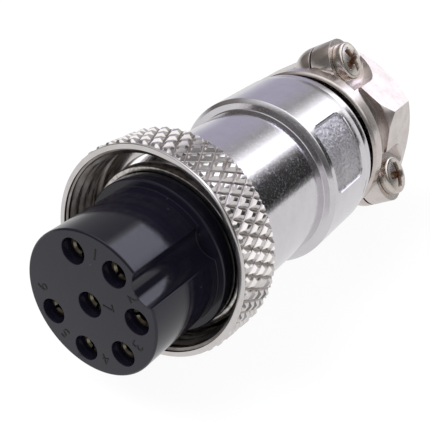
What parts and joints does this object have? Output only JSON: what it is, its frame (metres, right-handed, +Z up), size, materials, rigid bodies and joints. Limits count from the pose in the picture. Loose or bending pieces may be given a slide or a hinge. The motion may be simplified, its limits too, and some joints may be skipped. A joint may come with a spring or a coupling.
{
  "type": "circular cable plug",
  "caption": "Round keyed cable plug with socket contacts, a loose knurled coupling nut, a stepped metal rear shell and a cable clamp whose saddle is held by two screws.",
  "frame": {"origin": "centre of the insert's mating face, on the plug's axis", "axes": "+Y along the plug's axis from the mating face to the cable end, +X to the right, +Z up as the plug lies on its side"},
  "size_m": [0.0185, 0.0423, 0.019],
  "materials": {
    "insert": "glossy black moulded thermoset",
    "contact_plate": "matte black moulded plate",
    "contacts": "turned brass, thin bright plating",
    "sleeve": "nickel-plated brass, slightly worn face",
    "nut": "nickel-plated brass, bright knurl",
    "shell": "bright nickel-plated brass, smoothly turned",
    "clamp": "nickel-plated brass with a warmer tone",
    "screws": "plated steel, tarnished in the recesses"
  },
  "bodies": {
    "plug": {"insert": "insert", "contact_plate": "contact_plate", "contact_1": "contacts", "contact_2": "contacts", "contact_3": "contacts", "contact_4": "contacts", "contact_5": "contacts", "contact_6": "contacts", "contact_7": "contacts", "front_sleeve": "sleeve", "rear_shell": "shell", "clamp_base": "clamp"},
    "nut": {"coupling_nut": "nut"},
    "saddle": {"clamp_saddle": "clamp"},
    "upper_screw": {"clamp_screw_upper": "screws"},
    "lower_screw": {"clamp_screw_lower": "screws"}
  },
  "joints": [
    {"name": "nut_spin", "type": "hinge", "parent": "plug", "child": "nut", "pos_m": [0, 0.01115, 0.0005], "axis": [0, 0.9971, -0.0767], "continuous": true},
    {"name": "saddle_lift", "type": "slide", "parent": "plug", "child": "saddle", "axis": [0.8788, 0, 0.4772], "range_m": [-0.00015, 0.0015]},
    {"name": "upper_screw_turn", "type": "hinge", "parent": "saddle", "child": "upper_screw", "pos_m": [-0.00298, 0.037, 0.00549], "axis": [0.8788, 0, 0.4772], "range_deg": [-136, 1351]},
    {"name": "lower_screw_turn", "type": "hinge", "parent": "saddle", "child": "lower_screw", "pos_m": [0.00298, 0.037, -0.00549], "axis": [0.8788, 0, 0.4772], "range_deg": [-136, 1351]}
  ],
  "couplings": [
    {"joint": "upper_screw_turn", "follows": "saddle_lift", "rad_per_m": 15708},
    {"joint": "lower_screw_turn", "follows": "saddle_lift", "rad_per_m": 15708}
  ]
}
